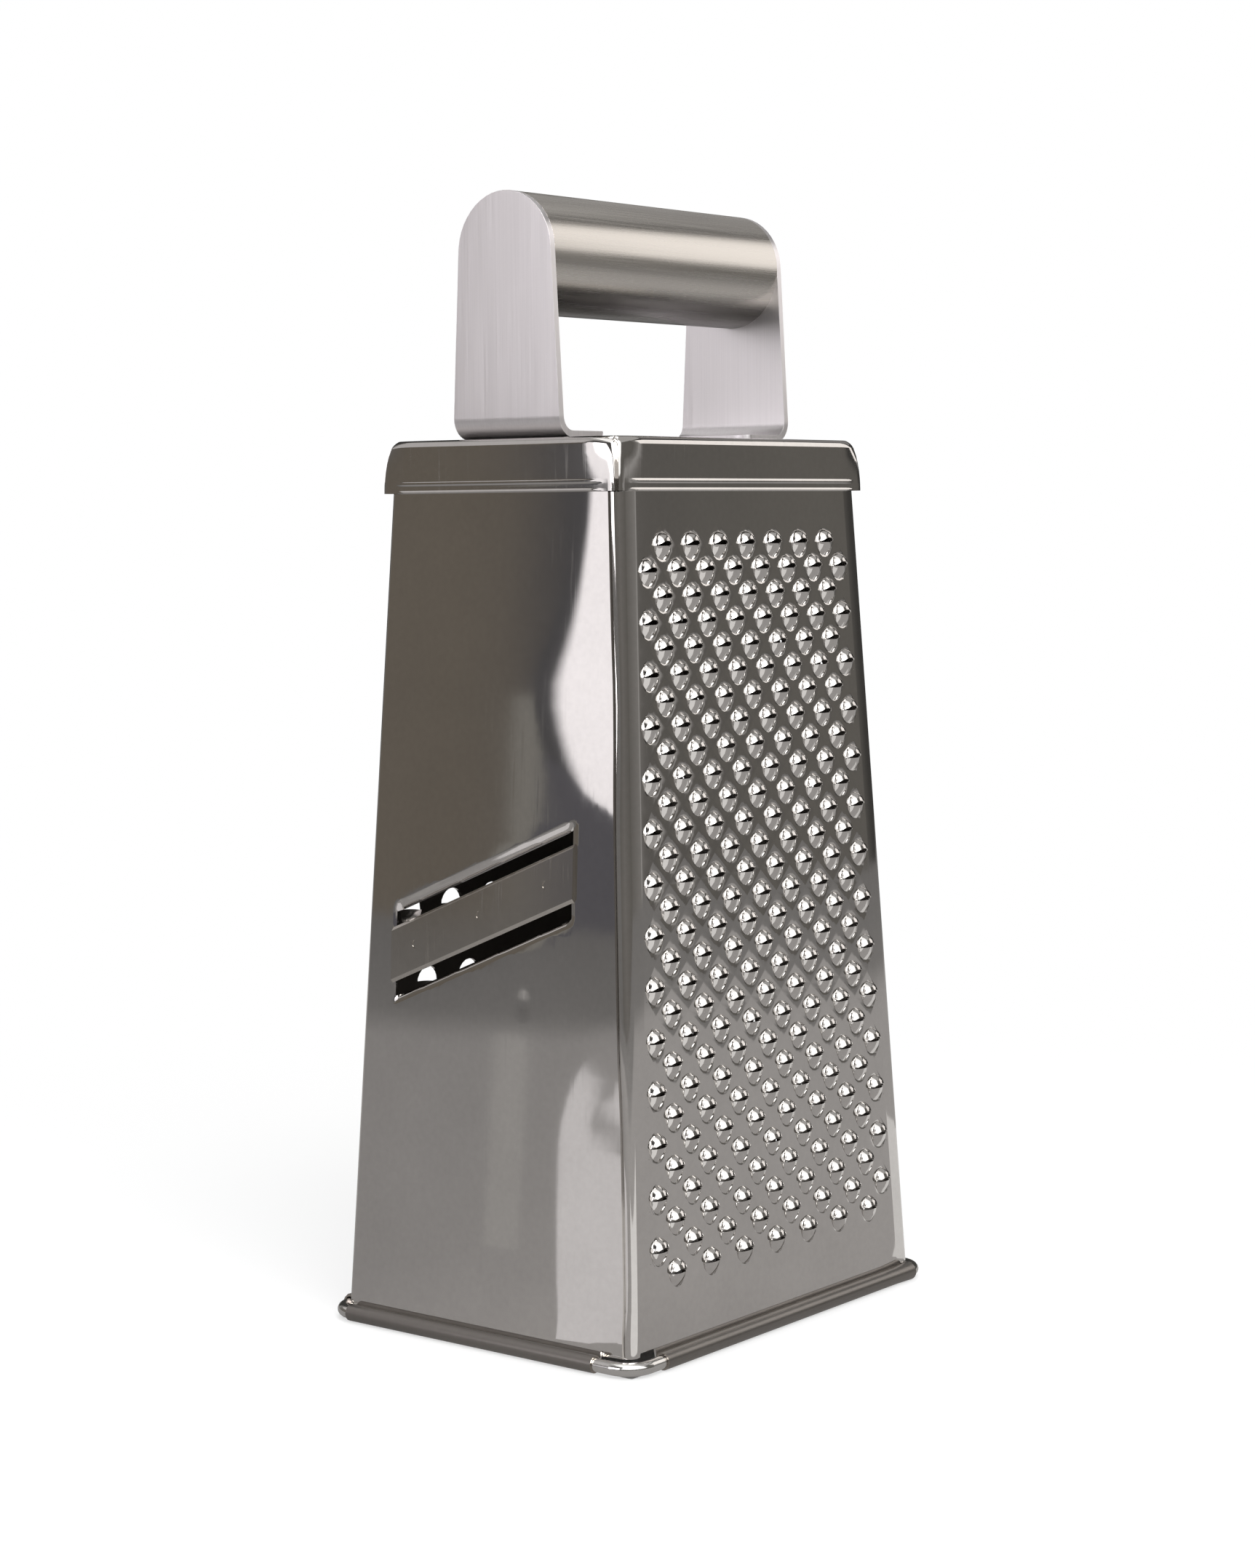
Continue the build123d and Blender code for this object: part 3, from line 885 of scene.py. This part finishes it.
# %% [markdown]
# The front wall has the small shredding teeth, in rows of seven and eight by turns. Each has a tall hood
# over a low tongue, and the mouth between them is where the food comes through. One tooth could be placed
# as a hundred copies, but then its foot would never join the sheet, so each is drawn out of the sheet.

# %% Front wall with the small shredding teeth
shred = Pattern(
    half=half_length, columns=8, rows=29, pitch=5.53 * mm, first=19.3 * mm, margin=10.2 * mm,
    full_first=False, near_side=-1, bend=True, top_rows=3)
tooth_width = 2.6 * mm
tooth_height = 3.05 * mm
tooth_dip = 0.1 * mm
sheet_bm, centres = punched_blank(shred)
rims = open_cells(sheet_bm, centres, tooth_width, tooth_height, halo=0.5 * mm, dip=tooth_dip, cuts=3)
hood = {"side": 1, "proud": 1.95 * mm, "arch": 0.34, "rows": 3}
tongue = {"side": -1, "proud": 1.3 * mm, "arch": 0.02, "rows": 2, "ramp": 0.3}
for rim, centre in zip(rims, centres):
    for half in (hood, tongue):
        press_half(sheet_bm, rim, centre, tooth_width, tooth_height, tooth_dip, **half)
print("shredding teeth:", len(centres))
finish_wall(sheet_bm, shred, front_place, "front_wall", "front_panel", drawn_in=True)

# %% [markdown]
# The back wall is punched with large teeth. Each is one hood below a round hole, with its cutting edge up,
# so the helper that drew a half of a small tooth draws it with other sizes.

# %% Back wall with the large shredding teeth
coarse = Pattern(
    half=half_length, columns=6, rows=9, pitch=17.42 * mm, first=21.3 * mm, margin=14.9 * mm,
    full_first=True, near_side=-1, bend=True, top_rows=1)
coarse_width = 3.7 * mm
coarse_height = 4.1 * mm
coarse_dip = 0.08 * mm
sheet_bm, centres = punched_blank(coarse)
rims = open_cells(sheet_bm, centres, coarse_width, coarse_height, halo=0.6 * mm, dip=coarse_dip, cuts=4)
for rim, centre in zip(rims, centres):
    press_half(
        sheet_bm, rim, centre, coarse_width, coarse_height, coarse_dip, side=-1, proud=2.8 * mm, rows=3)
print("large teeth:", len(centres))
finish_wall(sheet_bm, coarse, back_place, "back_wall", "back_panel")


# %% [markdown]
# The narrow right wall is a rasp: a sharp punch bursts each hole, and torn points stand up round it. There
# are hundreds, so each may have only a few faces. A single ring of edges, extruded once, makes such a
# crown, and a cosine of the direction lets its points stand up unevenly.


# %% Right wall with the rasp points
def press_crown(bm, rim, centre, tip_radius, proud):
    """Draws a hole's rim up into a torn crown of points round a smaller hole."""
    skin_of = bm.verts.layers.deform.verify()
    made = bmesh.ops.extrude_edge_only(bm, edges=rim)["geom"]
    tips = [g for g in made if isinstance(g, bmesh.types.BMVert)]
    for v in tips:
        away = Vector((v.co.x - centre.x, v.co.y - centre.y, 0))
        turn = math.atan2(away.y, away.x)
        torn = 0.72 + 0.28 * math.cos(4 * turn)
        away.normalize()
        v.co = Vector((centre.x, centre.y, proud * torn)) + away * tip_radius
        v[skin_of][0] = punched_skin


rasp = Pattern(
    half=half_depth, columns=12, rows=32, pitch=4.9 * mm, first=18.0 * mm, margin=9.5 * mm,
    full_first=True, near_side=-1, bend=False, top_rows=4)
rasp_radius = 1.15 * mm
sheet_bm, centres = punched_blank(rasp)
rims = open_cells(sheet_bm, centres, rasp_radius, rasp_radius, halo=0.3 * mm, dip=0.03 * mm, cuts=1)
for rim, centre in zip(rims, centres):
    press_crown(sheet_bm, rim, centre, tip_radius=0.6 * mm, proud=0.95 * mm)
print("rasp points:", len(centres))
finish_wall(sheet_bm, rasp, right_place, "rasp_wall", "rasp_panel")

# %% [markdown]
# The left wall has no teeth, so its sheet shows the room like a mirror, and every slight bend counts. Its
# edge towards the camera is drawn in a little by the folded corner, which turns that strip of the mirror
# to a bright light card. The slicer window is two slanted slots whose outer edges are turned inwards. They
# could be a boolean too, but plane cuts across the sheet leave clean rows for the turned edges to follow.

# %% Slicer window
plain = Pattern(
    half=half_depth, columns=14, rows=36, pitch=4.9 * mm, first=13.0 * mm, margin=6.5 * mm,
    full_first=True, near_side=1, bend=False, top_rows=1)
slicer_lean = math.radians(22.8)
slicer_up = 94.4 * mm
slicer_shift = -2.3 * mm
slot_half = 25 * mm
bridge_half = 5.2 * mm
slot_edge = 8.7 * mm
upper_lip = 2.3 * mm
lower_lip = 1.7 * mm
lip_depth_share = 0.55
window_room = 6 * mm
end_cuts = (-1.0, 0, 0.5, 1.1, 1.7, 2.3)


def across_blade(x, up):
    """The distance from the middle of the blade, square to it."""
    return (up - slicer_up) * math.cos(slicer_lean) - (x - slicer_shift) * math.sin(slicer_lean)


def cut_faces(bm, faces, point, normal):
    """Cuts some faces along a plane and keeps both sides."""
    geometry = set(faces) | {e for f in faces for e in f.edges} | {v for f in faces for v in f.verts}
    bmesh.ops.bisect_plane(bm, geom=list(geometry), plane_co=point, plane_no=normal, dist=0.001 * mm)


def faces_between(bm, reach, low, high):
    """The faces over the window's length plus a reach whose distance from the blade is in a range."""
    middles = [(f, f.calc_center_median()) for f in bm.faces]
    level = [(f, c) for f, c in middles if abs(c.x - slicer_shift) < slot_half + reach]
    return [f for f, c in level if low < abs(across_blade(c.x, c.y)) < high]


def open_window(bm):
    """Cuts the two slots of the slicer window and the fine rows that its lips need."""
    slant = Vector((-math.sin(slicer_lean), math.cos(slicer_lean), 0))
    middle = Vector((slicer_shift, slicer_up, 0))
    reaches = [side * reach for reach in (bridge_half, slot_edge) for side in (1, -1)]
    reaches += [slot_edge + upper_lip * k / 4 for k in range(1, 5)]
    reaches += [-slot_edge - lower_lip * k / 3 for k in range(1, 4)]
    cuts = [(slant * reach, slant) for reach in reaches]
    for past in end_cuts:
        for side in (1, -1):
            cuts.append((Vector((side * (slot_half + past * mm), 0, 0)), Vector((1, 0, 0))))
    for shift, normal in cuts:
        cut_faces(bm, faces_between(bm, window_room, -1, slot_edge + window_room), middle + shift, normal)
    bmesh.ops.delete(bm, geom=faces_between(bm, 0, bridge_half, slot_edge), context="FACES")


def lip_depth(x, up):
    """How deep the turned lips lie inside the wall. They end in a rounded corner past the slot."""
    off = across_blade(x, up)
    lip = upper_lip if off > 0 else lower_lip
    if abs(off) < bridge_half + 0.1 * mm:
        return 0.0
    past_end = max(0.0, abs(x - slicer_shift) - slot_half + 0.5 * lip)
    away = min(1.0, math.hypot(past_end, max(0.0, abs(off) - slot_edge)) / lip)
    return lip_depth_share * lip * (1 - math.sqrt(1 - (1 - away) ** 2))


# %% Left wall
def draw_in_edge(bm, pattern):
    """Lets the strip beside the near edge fall back in a gentle curve."""
    for v in bm.verts:
        if v.co.y < strip_start:
            continue
        width = strip_at(v.co.y)[0]
        from_edge = pattern.flat_half(v.co.y) - v.co.x
        v.co.z -= edge_fall(v.co.y) * max(0.0, 1 - from_edge / width) ** 2


def press_dimple(bm, x, up, radius, depth):
    """A small round dimple that something hard left in the sheet."""
    place = Vector((x, up, 0))
    near = [f for f in bm.faces if (f.calc_center_median() - place).length < 1.9 * radius]
    edges = list({e for f in near for e in f.edges})
    bmesh.ops.subdivide_edges(bm, edges=edges, cuts=4, use_grid_fill=True)
    for v in bm.verts:
        away = math.hypot(v.co.x - x, (v.co.y - up) * 0.8) / radius
        if away < 1:
            v.co.z -= depth * (1 - smooth_step(0, 1, away))


sheet_bm, centres = punched_blank(plain, punched=False)
open_window(sheet_bm)
for v in sheet_bm.verts:
    v.co.z -= lip_depth(v.co.x, v.co.y)
draw_in_edge(sheet_bm, plain)
press_dimple(sheet_bm, 9.85 * mm, 76.4 * mm, radius=3.0 * mm, depth=0.07 * mm)
finish_wall(sheet_bm, plain, left_place, "slicer_wall", "slicer_panel", crisp_from=38)

# %% [markdown]
# The lid is pressed from one sheet. A cube becomes it: the bottom face goes, a bevel rolls the top and the
# corners, and cuts add rows round the skirt for a thin rib and a hem. The corners are drawn in more and
# more towards the top, as folded sheet does, and a groove shows where two skirts meet.

# %% Lid
lid_low, lid_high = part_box("lid")
lid_roll = 1.7 * mm
lid_proud = 0.18 * mm
# each row: height up the skirt in mm, share of lid_proud that it stands out
rib_rows = (
    (0.0, 0.6), (0.25, 1.0), (0.5, 0.35), (0.7, 0.0), (1.5, 0.0), (1.75, 0.5), (2.05, 1.0), (2.4, 0.5),
    (2.7, 0.0), (4.5, 0.0), (6.5, 0.0), (8.0, 0.0))
cuts_from_edge = (2.6, 3.6, 4.6, 5.8, 7.2, 9.0)
rib_starts = 4.0 * mm
rib_full = 6.5 * mm
corner_reach = 9.0 * mm
corner_draw = 4.6 * mm
corner_round = 0.98
groove_half = 0.45 * mm
groove_depth = 0.9 * mm
groove_reach = 2.5 * lid_roll
groove_fades_from = 0.86


def pressed_lid():
    """The cap, with rolled edges, drawn-in corners, grooves and a rib round its skirt."""
    bm = bmesh.new()
    bmesh.ops.create_cube(bm, size=1)
    size = lid_high - lid_low - Vector((2 * lid_proud, 2 * lid_proud, 0))
    half = size / 2
    middle = (lid_high + lid_low) / 2
    bmesh.ops.transform(bm, matrix=Matrix.Translation(middle) @ Matrix.Diagonal((*size, 1)), verts=bm.verts)
    bottom = [f for f in bm.faces if f.normal.z < -0.5]
    bmesh.ops.delete(bm, geom=bottom, context="FACES_ONLY")
    rolled = [e for e in bm.edges if not e.is_boundary]
    bmesh.ops.bevel(
        bm, geom=rolled, offset=lid_roll, segments=5, profile=0.5, affect="EDGES",
        clamp_overlap=False, material=-1)
    for height, _ in rib_rows[1:]:
        cut_faces(bm, bm.faces[:], Vector((0, 0, lid_low.z + height * mm)), Vector((0, 0, 1)))
    for side in (1, -1):
        for inset in cuts_from_edge:
            cut_faces(bm, bm.faces[:], Vector((side * (half.x - inset * mm), 0, 0)), Vector((1, 0, 0)))
            cut_faces(bm, bm.faces[:], Vector((0, side * (half.y - inset * mm), 0)), Vector((0, 1, 0)))
    for corner in [Vector((x * half.x, y * half.y)) for x in (1, -1) for y in (1, -1)]:
        slant = Vector((corner.x / half.x, -corner.y / half.y, 0)).normalized()
        for shift in (-groove_half, 0, groove_half):
            near = [f for f in bm.faces if (f.calc_center_median().to_2d() - corner).length < groove_reach]
            cut_faces(bm, near, corner.to_3d() + slant * shift, slant)
    for v in bm.verts:
        shape_skirt(v, half)
    return bm


def shape_skirt(v, half):
    """Pushes out the rib and the hem, draws the corner in and sinks its groove."""
    up = v.co.z - lid_low.z
    corner = Vector((math.copysign(half.x, v.co.x), math.copysign(half.y, v.co.y)))
    inwards = Vector((-math.copysign(1, v.co.x), -math.copysign(1, v.co.y))).normalized()
    away = v.co.to_2d() - corner
    off_diagonal = abs(away.x * inwards.y - away.y * inwards.x)
    proud = 0.0
    for (low, first), (high, last) in zip(rib_rows, rib_rows[1:]):
        if low * mm - same_place <= up <= high * mm:
            proud = first + (last - first) * (up / mm - low) / (high - low)
    proud *= lid_proud * smooth_step(rib_starts, rib_full, away.length)
    if half.x - abs(v.co.x) < same_place:
        v.co.x += math.copysign(proud, v.co.x)
    elif half.y - abs(v.co.y) < same_place:
        v.co.y += math.copysign(proud, v.co.y)
    share = min(1.0, up / (lid_high.z - lid_low.z))
    rounding = 1 - math.sqrt(1 - (corner_round * share) ** 2)
    draw = corner_draw * rounding * max(0.0, 1 - away.length / corner_reach) ** 2
    if away.length < groove_reach:
        sunk = groove_depth * max(0.0, 1 - off_diagonal / groove_half)
        draw += sunk * (1 - smooth_step(groove_fades_from, 1.0, share))
    v.co.x += inwards.x * draw
    v.co.y += inwards.y * draw


lid = new_piece("lid_cap", pressed_lid(), lid_steel, "lid")
add_thickness(lid, sheet)
crisp_rims(lid)
print("lid skirt, mm:", round(1000 * (lid_high.z - lid_low.z), 2))

# %% [markdown]
# The handle is a tube between two straps. A real strap is cut flat and bent over a foot. A box with a bend
# in it would need its round top trimmed, so each strap is drawn as one grid of rows: along the foot, round
# the bend, up the face and over the round top, where the rows shrink to a point. A small bevel catches the
# light on its edges.

# %% Handle brackets
tube_low, tube_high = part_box("handle_tube")
tube_radius = (tube_high.y - tube_low.y) / 2
tube_middle = (tube_high.z + tube_low.z) / 2
strap = 1.5 * mm
strap_edge = 0.22 * mm
bracket_bend = 4.7 * mm
# each row of the foot's rounded end, in mm: distance from the end, how much narrower on each side
foot_end = ((0, 1.5), (0.6, 0.5), (1.6, 0))


def bracket_rows(low, high):
    """(distance in from the outer face, height, half width) of each row of the strap's outer side."""
    foot_half = (high.y - low.y) / 2
    foot_length = high.x - low.x
    rows = [(foot_length - back * mm, 0, foot_half - narrower * mm) for back, narrower in foot_end]
    for step in range(9):
        turn = math.pi / 2 * step / 8
        inwards = bracket_bend * (1 - math.sin(turn))
        rows.append((inwards, bracket_bend * (1 - math.cos(turn)), foot_half))
    straight = tube_middle - low.z - bracket_bend
    for step in range(1, 6):
        share = step / 5
        rows.append((0, bracket_bend + straight * share, foot_half + (tube_radius - foot_half) * share))
    for step in range(1, 13):
        turn = math.pi / 2 * step / 12
        rows.append((0, tube_middle - low.z + tube_radius * math.sin(turn), tube_radius * math.cos(turn)))
    return rows


def strap_bracket(side):
    """One bracket as a strip of quads, with its outer side facing out."""
    low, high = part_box("handle_bracket_left" if side < 0 else "handle_bracket_right")
    outer = low.x if side < 0 else high.x
    rows = bracket_rows(low, high)
    bm = bmesh.new()
    bmesh.ops.create_grid(bm, x_segments=10, y_segments=len(rows) - 1, size=1)
    for v in bm.verts:
        share = v.co.x
        inwards, up, half_width = rows[round((v.co.y + 1) / 2 * (len(rows) - 1))]
        v.co = Vector((outer - side * inwards, side * share * half_width, low.z + up))
    bmesh.ops.remove_doubles(bm, verts=bm.verts, dist=same_place)
    bmesh.ops.recalc_face_normals(bm, faces=bm.faces)
    face = max(bm.faces, key=lambda f: f.calc_center_median().z)
    if face.normal.x * side < 0:
        bmesh.ops.reverse_faces(bm, faces=bm.faces)
    return bm


for side, label in ((-1, "left"), (1, "right")):
    bracket = new_piece(
        "bracket_" + label, strap_bracket(side), bracket_steel, "handle_bracket_" + label)
    add_thickness(bracket, strap)
    soft = bracket.modifiers.new("soft_edges", "BEVEL")
    soft.width = strap_edge
    soft.segments = 2
    soft.limit_method = "ANGLE"
    soft.angle_limit = math.radians(50)
    flat = bracket.modifiers.new("flat_faces", "WEIGHTED_NORMAL")
    flat.keep_sharp = True

# %% [markdown]
# The grip is a plain tube, closed at its ends by the brackets. A circle could be extruded into it, but the
# cone operator with two equal radii makes it in one call. It is then laid on its side between the brackets.

# %% Handle tube
tube_wall = 0.8 * mm
bm = bmesh.new()
length = tube_high.x - tube_low.x
bmesh.ops.create_cone(
    bm, cap_ends=False, segments=96, radius1=tube_radius, radius2=tube_radius, depth=length)
lying = Matrix.Translation((tube_high + tube_low) / 2) @ Matrix.Rotation(math.radians(90), 4, "Y")
bmesh.ops.transform(bm, matrix=lying, verts=bm.verts)
tube = new_piece("grip_tube", bm, tube_steel, "handle_tube")
add_thickness(tube, tube_wall)
crisp_rims(tube)
print("tube length, mm:", round(1000 * length, 2))

# %% [markdown]
# The blade is a flat strip and the wire a round ring, so the solid model's own meshes are good enough. They
# only get better materials.

# %% Materials of the blade and the wire
for name, material in {"slicer_blade": blade_steel, "rim_wire": wire_steel}.items():
    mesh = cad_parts[name].data
    mesh.materials.clear()
    mesh.materials.append(material)
